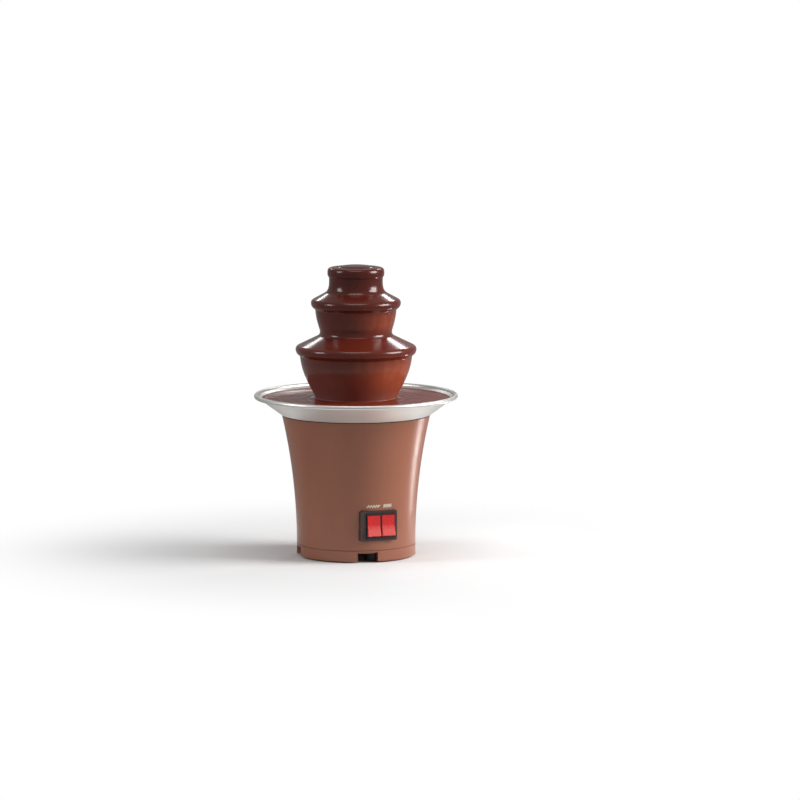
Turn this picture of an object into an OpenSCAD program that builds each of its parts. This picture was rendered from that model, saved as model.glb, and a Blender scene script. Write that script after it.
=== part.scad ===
// Tabletop chocolate fountain with a three-tier tower, shown running.
// Millimetres, +Z up, switches towards -Y. The origin is on the table, under the drive axis.

/* [Base housing] */
// Diameter of the housing at its lower edge
base_d = 90.4; // [87:0.2:98]
// Diameter of the housing at its top edge
base_top_d = 112.8; // [109:0.2:120]
// Height of the housing's top edge above the table
base_top_z = 107.5; // [103:0.5:112]
// Height of the seam between the housing and the bottom cover
seam_z = 9.6; // [8.6:0.2:11]
// Wall thickness of the housing
wall = 2.2; // [1.6:0.1:3]
// Thickness of the inner ledge that carries the bowl
ledge_t = 3; // [2:0.2:5]

/* [Bottom cover] */
// Gap between the table and the cover's skirt
skirt_gap = 1; // [0.6:0.1:2]
// Thickness of the cover's floor
cover_t = 2.4; // [1.6:0.1:3]
// Wall thickness of the skirt
skirt_t = 2.8; // [2:0.1:4]
// Angle that each notch takes out of the skirt
notch_angle = 20; // [12:1:30]
// Height of a notch above the skirt's lower edge
notch_h = 7; // [5:0.2:7.4]
// Diameter of a rubber foot
foot_d = 12; // [9:0.5:14]
// Gap between a foot and the inside of the skirt
foot_inset = 3.4; // [2.6:0.1:5]

/* [Bowl] */
// Diameter over the rolled rim
rim_d = 155; // [148:0.5:164]
// Height of the rim's top above the table
rim_z = 123.5; // [121:0.5:129]
// Diameter of the rolled edge
bead_d = 3.4; // [2.8:0.1:4.4]
// Thickness of the bowl's sheet steel
bowl_t = 1; // [0.7:0.1:1.3]
// Depth of the well below the bowl's seat
well_depth = 9.3; // [8.5:0.1:10.5]
// Width of the flat seat ring
seat_w = 7; // [5.5:0.1:8.5]
// Thickness of the gasket under the seat
gasket_t = 0.8; // [0.5:0.1:1.4]
// Height of the neck that rises round the drive shaft
neck_h = 11; // [9:0.2:12]

/* [Tower] */
// Bore of the tower tube
tube_bore = 29; // [28.8:0.1:29.6]
// Outer diameter of the tube's lower length
tube_lower_d = 37; // [36.4:0.1:38]
// Outer diameter of the tube's middle length
tube_middle_d = 34.5; // [34:0.1:35.2]
// Outer diameter of the tube's top length
tube_top_d = 32; // [31.4:0.1:32.6]
// Height of each inlet arch at the tube's foot
inlet_h = 9; // [6:0.5:12]
// Angle that each inlet arch takes out of the foot
inlet_angle = 50; // [30:1:60]
// Wall thickness of a tier
tier_t = 1.8; // [1.2:0.1:2.4]
// Depth of the upright lip round a tier
tier_lip = 2.4; // [1.6:0.1:3]

/* [Running chocolate] */
// Diameter of the fall at the crown
crown_d = 43.2; // [42.6:0.2:46]
// Diameter of the fall at the middle tier
middle_d = 68.4; // [64:0.2:74]
// Diameter of the fall at the lower tier
lower_d = 92; // [86:0.2:100]
// Height of the lower tier's widest ring above the bowl's rim
lower_rise = 34.4; // [29:0.1:42]
// Height of the middle tier's widest ring above the lower tier's
middle_rise = 35.3; // [31:0.1:42]
// Height of the crown's widest ring above the middle tier's
crown_rise = 22.4; // [19.5:0.1:26]
// Diameter of the fall where it lands on the middle tier
crown_land_d = 40.8; // [40:0.2:42]
// Diameter of the fall where it lands on the lower tier
middle_land_d = 53; // [49:0.2:56]
// Diameter of the fall where it lands on the pool
lower_land_d = 61; // [52:0.2:66]
// Thickness of the falling sheet
sheet_t = 1.8; // [1.4:0.1:2.4]
// Depth of the pool's surface below the rim
pool_below_rim = 3.4; // [3:0.2:7]
// Height of the top of the dome over the crown's widest ring
dome_h = 6.2; // [5.6:0.1:8]

/* [Auger and drive] */
// Diameter of the auger's flight
auger_d = 28; // [27:0.1:28.2]
// Diameter of the auger's core
auger_core_d = 10; // [9:0.2:12]
// Pitch of the flight
auger_pitch = 20; // [16:1:26]
// Diameter of the drive shaft
shaft_d = 6; // [5:0.1:6.4]
// Length of the shaft's flatted end inside the auger
shaft_end = 14; // [10:0.5:18]
// Centre distance from the drive shaft to the motor
motor_offset = 22; // [20:0.5:23]
// Diameter of the motor's can
motor_d = 24.4; // [22:0.2:28]
// Length of the motor's can
motor_len = 31; // [26:0.5:33]
// Module of the gear pair at the motor
module_1 = 0.7; // [0.65:0.01:0.72]
// Module of the gear pair at the drive shaft
module_2 = 0.9; // [0.85:0.01:0.92]
// Height of the drop from the bowl's floor to the chassis plate
chassis_drop = 20.5; // [19:0.5:22]
// Length of the standoffs that hang the gearbox
standoff_h = 10.5; // [8:0.5:11]

/* [Switches] */
// Width of the switch panel
panel_w = 29.6; // [29:0.1:37]
// Height of the switch panel
panel_h = 23; // [22:0.5:26]
// Height of the panel's centre above the table
panel_z = 28.3; // [27:0.1:34]
// How far the panel stands out of the housing at its middle
panel_proud = 1.2; // [0.6:0.1:2]
// Sideways shift of the switch pair in the panel
switch_shift = 1.5; // [0:0.1:1.9]
// Width of a rocker
rocker_w = 10; // [9:0.1:10.6]
// Height of a rocker between the ends of its two faces
rocker_h = 15.2; // [13:0.2:16]
// Tilt of a rocker either side of level
rocker_tilt = 9; // [6:0.5:11]

/* [Cord inlet] */
// Bore of the cord gland
cord_bore = 6.8; // [5:0.1:8]
// Height of the gland's axis above the table
gland_z = 24; // [20:0.5:30]

/* [Hidden] */
$fn = 96;
// Clearance between pieces that slot together and stay put
fit = 0.1;
// Clearance between a turning piece and its bearing
run = 0.05;
// Clearance between chocolate, which is not attached, and what moves past it
flow_gap = 0.3;
// Overshoot of a cutting tool past the face it cuts
over = 1;

// Housing: its outside is an arc that starts upright at the seam and flares to the top edge
base_r = base_d / 2;
top_r = base_top_d / 2;
flare_h = base_top_z - seam_z;
flare_dr = top_r - base_r;
flare_r = (flare_h * flare_h + flare_dr * flare_dr) / (2 * flare_dr);
function housing_r(z) = base_r + flare_r - sqrt(flare_r * flare_r - (z - seam_z) * (z - seam_z));

// Bottom cover
cover_top = seam_z - 0.6;
cover_bottom = cover_top - cover_t;
seam_groove = 0.6;
spigot_t = 2;
spigot_h = 4;
notch_from = -110;
post_pcr = base_r - 9.2;
post_r = 3.6;
post_h = 22;
cover_screw_l = 14;
screw_r = 1.5;
screw_head_r = 3;
screw_head_h = 2;
foot_pin_r = 2.5;
foot_r = base_r - skirt_t - foot_inset - foot_d / 2;
terminal_size = [12, 22, 9];
terminal_xy = [-(foot_r - foot_pin_r - 1), -terminal_size.y / 2];

// Bowl, from the seat down
seat_z = base_top_z + gasket_t;
seat_top = seat_z + bowl_t;
seat_ro = top_r + 0.8;
well_ro = top_r - seat_w;
well_ri = well_ro - bowl_t;
floor_under = seat_z - well_depth;
floor_top = floor_under + bowl_t;
shaft_r = shaft_d / 2;
neck_ri = shaft_r + 2.5;
neck_ro = neck_ri + bowl_t;
neck_top = floor_top + neck_h;
bead_r = bead_d / 2;
bead_c = [rim_d / 2 - bead_r, rim_z - bead_r];
brim_from = [seat_ro, seat_z];
brim_dir = (bead_c - brim_from) / norm(bead_c - brim_from);
brim_up = [-brim_dir.y, brim_dir.x];
// Radius of the brim's upper face at a height
function brim_r(z) = let (p = brim_from + brim_up * bowl_t) p.x + brim_dir.x * (z - p.y) / brim_dir.y;
pool_z = rim_z - pool_below_rim;

// Heater stack, hung under the bowl's floor
stud_r = 2;
stud_pcr = well_ro - 11.4;
heater_plate_t = 3.5;
heater_plate_r = stud_pcr + 6;
heater_hole_r = neck_ro + 5.5;
element_t = 3;
element_ri = heater_hole_r + 4;
element_ro = stud_pcr - stud_r - 3;
clamp_t = 1.2;
nut_r = 4;
nut_h = 3.2;
plate_bottom = floor_under - heater_plate_t;
element_bottom = plate_bottom - element_t;
clamp_bottom = element_bottom - clamp_t;
thermostat_r = 8;
thermostat_h = 6;
thermostat_y = -(element_ri + element_ro) / 2;

// Chassis, gearbox and motor, stacked downwards
chassis_t = 1.5;
chassis_top = floor_under - chassis_drop;
chassis_bottom = chassis_top - chassis_t;
chassis_post_r = 4;
chassis_post_pcr = housing_r(chassis_top) - wall - chassis_post_r - 1.8;
chassis_post_h = 11;
chassis_screw_l = 8;
chassis_r = chassis_post_pcr + 4;
box_cover_t = 2;
box_cover_top = chassis_bottom - standoff_h;
box_cover_bottom = box_cover_top - box_cover_t;
box_inside_h = 12;
box_floor_t = 2;
box_floor_top = box_cover_bottom - box_inside_h;
box_floor_bottom = box_floor_top - box_floor_t;
box_wall = 1.8;
box_play = 0.7;
bush_r = shaft_r + 2.5;
bush_flange_r = bush_r + 1.5;
bush_flange_t = 1;
motor_top = box_floor_bottom;
motor_bottom = motor_top - motor_len;
can_t = 1;
magnet_t = 3.2;
rotor_r = motor_d / 2 - can_t - magnet_t - 0.8;
rotor_shaft_r = 1.2;
rotor_room = 4;
endcap_t = 3;
motor_screw_x = [-8, 8];
motor_screw_r = 1.2;
motor_screw_head = 1.2;
nose_r = 3.4;
nose_h = box_floor_t - 0.4;

// Gears: pressure angle 25 degrees, so that a 12-tooth pinion needs no undercut
pressure = 25;
pinion_teeth = 12;
wheel_1_teeth = 42;
wheel_2_teeth = 36;
gear_1_face = 4;
gear_2_face = 5;
gear_backlash = 0.12;
gear_1_z = box_floor_top + box_play;
gear_2_z = gear_1_z + gear_1_face + 0.6;
centre_1 = module_1 * (pinion_teeth + wheel_1_teeth) / 2;
centre_2 = module_2 * (pinion_teeth + wheel_2_teeth) / 2;
motor_xy = [0, motor_offset];
idler_y = (centre_2 * centre_2 - centre_1 * centre_1 + motor_offset * motor_offset) / (2 * motor_offset);
idler_xy = [sqrt(centre_2 * centre_2 - idler_y * idler_y), idler_y];
idler_pin_r = 1.5;
// A wheel's tooth faces a pinion's gap where their two phases, in pitches, add up to one half
function bearing(a, b) = atan2(b.y - a.y, b.x - a.x);
function mating_phase(from_teeth, from_phase, to_teeth, angle) =
    let (a = (angle - from_phase) * from_teeth / 360) angle + 180 - (0.5 - a) * 360 / to_teeth;
idler_pinion_phase = mating_phase(wheel_2_teeth, 0, pinion_teeth, bearing([0, 0], idler_xy));
motor_pinion_phase = mating_phase(wheel_1_teeth, 0, pinion_teeth, bearing(idler_xy, motor_xy));
// Case outline: a circle round each gear, and three ears for the screws
output_room = module_2 * (wheel_2_teeth / 2 + 1) + box_play;
idler_room = module_1 * (wheel_1_teeth / 2 + 1) + box_play;
pinion_room = module_1 * (pinion_teeth / 2 + 1) + box_play + 1.5;
ear_r = 4;
ear_reach = box_wall + ear_r - 1;
function polar(r, a) = [r * cos(a), r * sin(a)];
ears = [polar(output_room + ear_reach, 190), polar(output_room + ear_reach, 292),
        idler_xy + polar(idler_room + ear_reach, 100)];

// Drive and auger
auger_r = auger_d / 2;
core_r = auger_core_d / 2;
auger_bottom = floor_top + 1.5;
socket_bottom = neck_top + 1.2;
shaft_top = socket_bottom + shaft_end;
shaft_flat = shaft_r * 0.7;
shaft_bottom = box_floor_bottom - 4;
sleeve_ri = neck_ro + 0.8;
sleeve_ro = sleeve_ri + 1.8;
flight_angle = 45;
flight_slices_per_turn = 20;

// Tower: the tube steps in twice, and each tier sits on a step
tube_r = tube_bore / 2;
seat_gap = 0.1;
tube_bottom = floor_top + seat_gap;
lower_z = rim_z + lower_rise;
middle_z = lower_z + middle_rise;
crown_z = middle_z + crown_rise;
lower_seat_drop = 6.4;
middle_seat_drop = 4;
crown_seat_drop = 2;
lower_step = lower_z - lower_seat_drop;
middle_step = middle_z - middle_seat_drop;
tube_top = crown_z - crown_seat_drop;
ring_t = 1.5;
ring_h = 3;
ring_ri = tube_lower_d / 2 + 0.4;
lip_film = 2.8;
crown_film = 2.2;
hub_film = 1.4;
// Height of a tier's lip above the widest ring of the fall over it, and drop of the crown's lip below its own
lip_rise = 1.2;
crown_lip_drop = 1;

// Landing rings of the chocolate: [outer radius, height]
middle_shoulder = 9.3;
lower_shoulder = 11.3;
crown_land = [crown_land_d / 2, middle_z + middle_shoulder];
middle_land = [middle_land_d / 2, lower_z + lower_shoulder];
lower_land = [lower_land_d / 2, pool_z + flow_gap];
dome_r = auger_r + 0.2;
dome_crown = 1.2;
crown_roll = 4.6;
// Half the height of the crown ring's upright side, and the height of the undercut below it
crown_side = 1.3;

// Switches
panel_front = -(housing_r(panel_z) + panel_proud);
panel_depth = 7;
panel_back = panel_depth - housing_r(panel_z);
panel_wall = 1.4;
panel_face_t = 2.4;
panel_corner = 1.5;
panel_inner_corner = 1;
switch_flange_t = 0.8;
switch_wall = 0.6;
rocker_side = 0.15;
rocker_end = 0.25;
switch_w = rocker_w + 2 * (rocker_side + switch_wall);
switch_pitch = switch_w + fit;
rocker_proud = 0.3;
rocker_depth = 1.8;
rocker_back = 3;
rocker_half = rocker_h / 2;
rocker_rise = rocker_half * tan(rocker_tilt);
rocker_reach = sqrt(pow(rocker_half, 2) + pow(rocker_depth + rocker_rise, 2));
switch_window_h = 2 * (rocker_reach + rocker_end);
switch_h = switch_window_h + 1.4;
switch_flange_h = switch_h + 1.4;
switch_front = panel_front - switch_flange_t;
switch_depth = 15.5;
switch_back = panel_front + switch_depth;
rocker_pivot_y = switch_front + rocker_depth - rocker_proud;
rocker_cavity = rocker_back * cos(rocker_tilt) + rocker_reach * sin(rocker_tilt) + 0.3;
trunnion_r = 1.2;
trunnion_l = 0.5;
motor_switch_x = switch_shift - switch_pitch / 2;
heat_switch_x = switch_shift + switch_pitch / 2;

// Cord gland, on the rear wall
gland_bore_r = cord_bore / 2;
gland_neck_r = gland_bore_r + 2;
gland_flange_r = gland_bore_r + 4;
gland_flange_t = 3;
gland_seat_y = housing_r(gland_z) - 0.8;
gland_inner_y = housing_r(gland_z) - wall - 3.5;

// Curves

// Points along a curve with one control point
function curve(p0, p1, p2, n = 8) =
    [for (i = [0:n]) let (t = i / n) (1 - t) * (1 - t) * p0 + 2 * t * (1 - t) * p1 + t * t * p2];
// Points along a curve with two control points
function curve2(p0, p1, p2, p3, n = 10) =
    [for (i = [0:n]) let (t = i / n, s = 1 - t)
        s * s * s * p0 + 3 * s * s * t * p1 + 3 * s * t * t * p2 + t * t * t * p3];
// A cone's side that is slightly hollow between its two ends
hollow_depth = 0.8;
function hollow(p0, p1) = curve(p0, (p0 + p1) / 2 - [0, hollow_depth], p1);
function shifted(points, by) = [for (p = points) p + by];
function reversed(points) = [for (i = [len(points) - 1:-1:0]) points[i]];
function without_ends(points) = [for (i = [1:len(points) - 2]) points[i]];

// Upper face of a tier, from its hub to the top of its lip
function tier_face(hub_r, hub_z, lip_r, lip_z) = hollow([hub_r, hub_z], [lip_r, lip_z]);
lower_lip = [lower_d / 2 - lip_film, lower_z + lip_rise];
middle_lip = [middle_d / 2 - lip_film, middle_z + lip_rise];
crown_lip = [crown_d / 2 - crown_film, crown_z - crown_lip_drop];
lower_bore = tube_middle_d / 2 + fit;
middle_bore = tube_top_d / 2 + fit;
sleeve_t = 2;
crown_bore = tube_r + fit;
crown_skirt_gap = 1.5;
crown_skirt_t = 1.4;
crown_top = crown_lip.y + 4.2;
crown_edge = 0.6;
crown_face = curve(crown_lip, [crown_lip.x, crown_top - crown_edge], [crown_bore + crown_edge, crown_top], 6);
lower_face = tier_face(lower_bore + sleeve_t, middle_land.y - hub_film, lower_lip.x, lower_lip.y);
middle_face = tier_face(middle_bore + sleeve_t, crown_land.y - hub_film, middle_lip.x, middle_lip.y);
// Height of a tier's upper face at a radius, read off its points
function face_z(face, r) = lookup(r, [for (p = face) [p.x, p.y]]);

// Basic shapes

module ring(ro, ri, h) {
    difference() {
        cylinder(r = ro, h = h);
        translate([0, 0, -over]) cylinder(r = ri, h = h + 2 * over);
    }
}

module at_polar(r, a) {
    translate([r * cos(a), r * sin(a), 0]) children();
}

// A sector of a disc, from one angle to another, as a cutting tool
module sector(r, from, to, h) {
    steps = 12;
    linear_extrude(h)
        polygon(concat([[0, 0]], [for (i = [0:steps]) polar(r, from + (to - from) * i / steps)]));
}

// A screw with its head's underside at z = 0 and its shank pointing up
module screw(shank_r, shank_l, head_r, head_h) {
    slot_w = head_r * 0.3;
    cylinder(r = shank_r, h = shank_l);
    difference() {
        translate([0, 0, -head_h]) cylinder(r = head_r, h = head_h);
        for (a = [0, 90])
            rotate(a) translate([-head_r * 0.6, -slot_w / 2, -head_h - over])
                cube([head_r * 1.2, slot_w, over + head_h * 0.5]);
    }
}

module hex_nut(r, bore_r, h) {
    difference() {
        cylinder(r = r, h = h, $fn = 6);
        translate([0, 0, -over]) cylinder(r = bore_r, h = h + 2 * over);
    }
}

module rounded_rect(w, h, r) {
    translate([-w / 2 + r, -h / 2]) square([w - 2 * r, h]);
    translate([-w / 2, -h / 2 + r]) square([w, h - 2 * r]);
    for (x = [-1, 1], y = [-1, 1])
        translate([x * (w / 2 - r), y * (h / 2 - r)]) circle(r);
}

// A block whose outline lies in the X-Z plane, from one Y to another
module facing_block(from_y, to_y) {
    translate([0, to_y, 0]) rotate([90, 0, 0]) linear_extrude(to_y - from_y) children();
}

function involute(rb, t) = [rb * (cos(t) + t * PI / 180 * sin(t)), rb * (sin(t) - t * PI / 180 * cos(t))];
function turned(p, a) = [p.x * cos(a) - p.y * sin(a), p.x * sin(a) + p.y * cos(a)];

// Outline of an involute gear, with a tooth centred on angle phase
module gear_outline(m, teeth, phase) {
    pitch_r = m * teeth / 2;
    base_circle = pitch_r * cos(pressure);
    tip_r = pitch_r + 0.95 * m;
    root_r = pitch_r - 1.2 * m;
    tip_roll = sqrt(pow(tip_r / base_circle, 2) - 1) * 180 / PI;
    start_roll = sqrt(max(0, pow(max(root_r, base_circle) / base_circle, 2) - 1)) * 180 / PI;
    pitch_roll = tan(pressure) * 180 / PI;
    half_tooth = 90 / teeth + (pitch_roll - pressure) - gear_backlash / pitch_r * 90 / PI;
    flank_steps = 4;
    flank = [for (i = [0:flank_steps])
        turned(involute(base_circle, start_roll + (tip_roll - start_roll) * i / flank_steps), -half_tooth)];
    foot = polar(min(root_r, base_circle), atan2(flank[0].y, flank[0].x));
    side = concat([foot], flank);
    tooth = concat(side, [for (p = reversed(side)) [p.x, -p.y]]);
    polygon([for (k = [0:teeth - 1], p = tooth) turned(p, phase + k * 360 / teeth)]);
}

// Base

// Half section of the housing's outer form, drawn in by inset and run on past its lower edge by below
module housing_outline(inset, below = 0) {
    difference() {
        translate([0, seam_z - below]) square([top_r + over, flare_h + below]);
        translate([base_r + flare_r, seam_z]) circle(flare_r + inset, $fn = 256);
    }
}

// Screw post moulded on the inside of the housing's wall by a rib
module wall_post(pcr, a, r, from_z, h, rib_from, bore_r) {
    rib_t = 2;
    difference() {
        union() {
            at_polar(pcr, a) translate([0, 0, from_z]) cylinder(r = r, h = h);
            intersection() {
                rotate(a) translate([pcr, -rib_t / 2, rib_from])
                    cube([top_r - pcr, rib_t, from_z + h - rib_from]);
                rotate_extrude() housing_outline(wall / 2);
            }
        }
        at_polar(pcr, a) translate([0, 0, from_z - over]) cylinder(r = bore_r, h = h + over - 2);
    }
}

module base_housing() {
    color("#6f4437") {
        difference() {
            union() {
                difference() {
                    rotate_extrude() housing_outline(0);
                    difference() {
                        rotate_extrude() housing_outline(wall, over);
                        translate([0, 0, base_top_z - ledge_t]) cylinder(r = top_r, h = ledge_t + over);
                    }
                    translate([0, 0, base_top_z - ledge_t - over])
                        cylinder(r = well_ro + fit, h = ledge_t + 2 * over);
                }
                for (a = [45:90:315])
                    wall_post(post_pcr, a, post_r, cover_top + fit, post_h, seam_z + spigot_h,
                              screw_r + fit / 2);
                for (a = [30, 150, 270])
                    wall_post(chassis_post_pcr, a, chassis_post_r, chassis_top, chassis_post_h, chassis_top,
                              screw_r + fit / 2);
            }
            facing_block(-top_r, panel_back + 2)
                translate([0, panel_z]) rounded_rect(panel_w + 2 * fit, panel_h + 2 * fit, panel_corner);
            translate([0, 0, gland_z]) rotate([-90, 0, 0]) {
                cylinder(r = gland_neck_r + fit, h = top_r);
                translate([0, 0, gland_seat_y]) cylinder(r = gland_flange_r + 2 * fit, h = top_r);
            }
        }
    }
}

module bottom_cover() {
    color("#6a4035")
    difference() {
        union() {
            translate([0, 0, skirt_gap]) ring(base_r, base_r - skirt_t, cover_top - skirt_gap);
            translate([0, 0, cover_bottom]) cylinder(r = base_r, h = cover_t);
            translate([0, 0, cover_top - over])
                ring(base_r - seam_groove, base_r - wall - fit - spigot_t, seam_z - cover_top + over);
            translate([0, 0, cover_top - over])
                ring(base_r - wall - fit, base_r - wall - fit - spigot_t, spigot_h + over);
        }
        for (k = [0:3])
            translate([0, 0, skirt_gap - over]) difference() {
                sector(top_r, notch_from + 90 * k, notch_from + 90 * k + notch_angle, notch_h + over);
                translate([0, 0, -over]) cylinder(r = base_r - skirt_t - 1, h = notch_h + 3 * over);
            }
        for (a = [45:90:315])
            at_polar(post_pcr, a) translate([0, 0, cover_bottom - over])
                cylinder(r = screw_r + fit, h = cover_t + 2 * over);
        for (a = [0:90:270])
            at_polar(foot_r, a) translate([0, 0, cover_bottom - over])
                cylinder(r = foot_pin_r + fit / 2, h = cover_t + 2 * over);
        for (a = [0:30:330])
            rotate(a) translate([11, -1.2, cover_bottom - over]) cube([12, 2.4, cover_t + 2 * over]);
    }
}

module rubber_feet() {
    color("#1d1b1a")
    for (a = [0:90:270])
        at_polar(foot_r, a) {
            cylinder(r1 = foot_d / 2 - 0.6, r2 = foot_d / 2, h = 0.6);
            translate([0, 0, 0.6]) cylinder(r = foot_d / 2, h = cover_bottom - 0.6);
            translate([0, 0, cover_bottom]) cylinder(r = foot_pin_r, h = cover_t + 1);
        }
}

module cover_screws() {
    color("#b9bcc0")
    for (a = [45:90:315])
        at_polar(post_pcr, a) translate([0, 0, cover_bottom])
            screw(screw_r, cover_t + cover_screw_l, screw_head_r, screw_head_h);
}

module cord_gland() {
    color("#201d1c")
    translate([0, 0, gland_z]) rotate([-90, 0, 0])
        difference() {
            union() {
                translate([0, 0, gland_inner_y]) cylinder(r = gland_neck_r, h = gland_seat_y - gland_inner_y);
                translate([0, 0, gland_seat_y]) cylinder(r = gland_flange_r, h = gland_flange_t - 1);
                translate([0, 0, gland_seat_y + gland_flange_t - 1])
                    cylinder(r1 = gland_flange_r, r2 = gland_flange_r - 1, h = 1);
            }
            translate([0, 0, gland_inner_y - over])
                cylinder(r = gland_bore_r, h = gland_seat_y + gland_flange_t - gland_inner_y + 2 * over);
        }
}

module terminal_block() {
    color("#d9d2c0")
    translate([terminal_xy.x, terminal_xy.y, cover_top])
        difference() {
            cube(terminal_size);
            for (i = [0:2])
                translate([terminal_size.x / 2, terminal_size.y * (i + 0.5) / 3, terminal_size.z - 5])
                    cylinder(r = 1.8, h = 5 + over);
            for (i = [1:2])
                translate([-over, terminal_size.y * i / 3 - 0.5, 3])
                    cube([terminal_size.x + 2 * over, 1, terminal_size.z]);
        }
}

// Bowl and heater

module bowl() {
    brim_join = seat_ro - brim_dir.y * bowl_t + brim_dir.x * bowl_t * (1 - brim_dir.x) / brim_dir.y;
    color("#c9ccca")
    rotate_extrude() {
        polygon([[neck_ri, floor_under], [well_ro, floor_under], [well_ro, seat_z], brim_from, bead_c,
                 bead_c + brim_up * bowl_t, [brim_join, seat_top], [well_ri, seat_top], [well_ri, floor_top],
                 [neck_ro, floor_top], [neck_ro, neck_top], [neck_ri, neck_top]]);
        translate(bead_c) circle(bead_r);
    }
}

module bowl_gasket() {
    color("#3a3330")
    translate([0, 0, base_top_z]) ring(top_r - 6 * fit, well_ro + 4 * fit, gasket_t);
}

module bowl_studs() {
    color("#a9adb1")
    for (a = [90:120:330])
        at_polar(stud_pcr, a) translate([0, 0, chassis_bottom - nut_h - 2])
            cylinder(r = stud_r, h = floor_under - chassis_bottom + nut_h + 2);
}

module hub_bush() {
    color("#b5803f")
    translate([0, 0, floor_under]) ring(neck_ri - run, shaft_r + run, 4);
}

module shaft_seal() {
    color("#8c2f22")
    translate([0, 0, neck_top - 6]) ring(neck_ri - run, shaft_r + run, 6);
}

// Plate of the heater stack, with the stud holes
module stack_plate(z, h, ro, ri) {
    difference() {
        translate([0, 0, z]) ring(ro, ri, h);
        for (a = [90:120:330])
            at_polar(stud_pcr, a) translate([0, 0, z - over]) cylinder(r = stud_r + fit, h = h + 2 * over);
    }
}

module heater_plate() {
    color("#b8bcc2") stack_plate(plate_bottom, heater_plate_t, heater_plate_r, heater_hole_r);
}

module heating_element() {
    color("#c7a46a") translate([0, 0, element_bottom]) ring(element_ro, element_ri, element_t);
}

module heater_clamp() {
    color("#8f9499") stack_plate(clamp_bottom, clamp_t, heater_plate_r, heater_hole_r);
    color("#8f9499")
    for (a = [90:120:330])
        at_polar(stud_pcr, a) translate([0, 0, element_bottom]) ring(stud_r + 2.5, stud_r + fit, element_t);
}

module heater_nuts() {
    color("#b9bcc0")
    for (a = [90:120:330])
        at_polar(stud_pcr, a) translate([0, 0, clamp_bottom - nut_h]) hex_nut(nut_r, stud_r + run, nut_h);
}

module thermostat() {
    blade = [0.8, 4.8, 5];
    color("#26211d")
    translate([0, thermostat_y, clamp_bottom]) {
        translate([0, 0, -thermostat_h]) cylinder(r = thermostat_r, h = thermostat_h);
        for (x = [-1, 1])
            translate([x * 4 - blade.x / 2, -blade.y / 2, -thermostat_h - blade.z]) cube(blade);
    }
}

// Chassis, gearbox and motor

module chassis_plate() {
    color("#9aa0a4")
    difference() {
        translate([0, 0, chassis_bottom]) cylinder(r = chassis_r, h = chassis_t);
        translate([0, 0, chassis_bottom - over]) {
            cylinder(r = bush_flange_r + 3, h = chassis_t + 2 * over);
            for (a = [90:120:330])
                at_polar(stud_pcr, a) cylinder(r = stud_r + fit, h = chassis_t + 2 * over);
            for (a = [30, 150, 270])
                at_polar(chassis_post_pcr, a) cylinder(r = screw_r + fit, h = chassis_t + 2 * over);
            for (e = ears)
                translate([e.x, e.y, 0]) cylinder(r = screw_r + fit, h = chassis_t + 2 * over);
        }
    }
}

module chassis_nuts() {
    color("#b9bcc0")
    for (a = [90:120:330])
        at_polar(stud_pcr, a) translate([0, 0, chassis_bottom - nut_h]) hex_nut(nut_r, stud_r + run, nut_h);
}

module chassis_screws() {
    color("#b9bcc0")
    for (a = [30, 150, 270])
        at_polar(chassis_post_pcr, a) translate([0, 0, chassis_bottom])
            screw(screw_r, chassis_t + chassis_screw_l, screw_head_r - 0.2, screw_head_h);
}

module box_outline(extra) {
    circle(output_room + extra);
    translate(idler_xy) circle(idler_room + extra);
    translate(motor_xy) circle(pinion_room + extra);
}

module box_ears() {
    for (e = ears) translate(e) circle(ear_r);
}

module gearbox_case() {
    color("#e4e0d6")
    difference() {
        translate([0, 0, box_floor_bottom]) linear_extrude(box_cover_bottom - box_floor_bottom) {
            box_outline(box_wall);
            box_ears();
        }
        translate([0, 0, box_floor_top]) linear_extrude(box_inside_h + over) box_outline(0);
        translate([0, 0, box_floor_bottom - over]) {
            cylinder(r = bush_r + fit / 2, h = box_floor_t + 2 * over);
            translate(motor_xy) cylinder(r = nose_r + fit, h = box_floor_t + 2 * over);
            translate(idler_xy) cylinder(r = idler_pin_r + fit / 4, h = box_floor_t + 2 * over);
        }
        for (x = motor_screw_x)
            translate([x, motor_xy.y, box_floor_bottom - over]) {
                cylinder(r = motor_screw_r + fit, h = box_floor_t + 2 * over);
                translate([0, 0, over + box_floor_t - motor_screw_head])
                    cylinder(r = motor_screw_r * 2 + fit, h = 2 * over);
            }
        for (e = ears)
            translate([e.x, e.y, box_floor_top]) cylinder(r = screw_r + fit / 2, h = box_inside_h + over);
    }
}

module gearbox_cover() {
    color("#dcd7cb")
    difference() {
        translate([0, 0, box_cover_bottom]) linear_extrude(box_cover_t) {
            box_outline(box_wall);
            box_ears();
        }
        translate([0, 0, box_cover_bottom - over]) {
            cylinder(r = bush_r + fit / 2, h = box_cover_t + 2 * over);
            translate(idler_xy) cylinder(r = idler_pin_r + fit / 4, h = box_cover_t + 2 * over);
            for (e = ears)
                translate([e.x, e.y, 0]) cylinder(r = screw_r + fit, h = box_cover_t + 2 * over);
        }
    }
}

module gearbox_standoffs() {
    color("#c8ccd0")
    for (e = ears)
        translate([e.x, e.y, box_cover_top]) ring(ear_r - 0.6, screw_r + fit, standoff_h);
}

module gearbox_screws() {
    color("#b9bcc0")
    for (e = ears)
        translate([e.x, e.y, chassis_top]) mirror([0, 0, 1])
            screw(screw_r, chassis_top - box_floor_top - 2, screw_head_r - 0.2, screw_head_h);
}

module flanged_bush(h) {
    difference() {
        union() {
            cylinder(r = bush_r, h = h);
            translate([0, 0, h]) cylinder(r = bush_flange_r, h = bush_flange_t);
        }
        translate([0, 0, -over]) cylinder(r = shaft_r + run, h = h + bush_flange_t + 2 * over);
    }
}

module lower_bush() {
    color("#b5803f") translate([0, 0, box_floor_top]) mirror([0, 0, 1]) flanged_bush(box_floor_t);
}

module upper_bush() {
    color("#b5803f") translate([0, 0, box_cover_bottom]) flanged_bush(box_cover_t);
}

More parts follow.
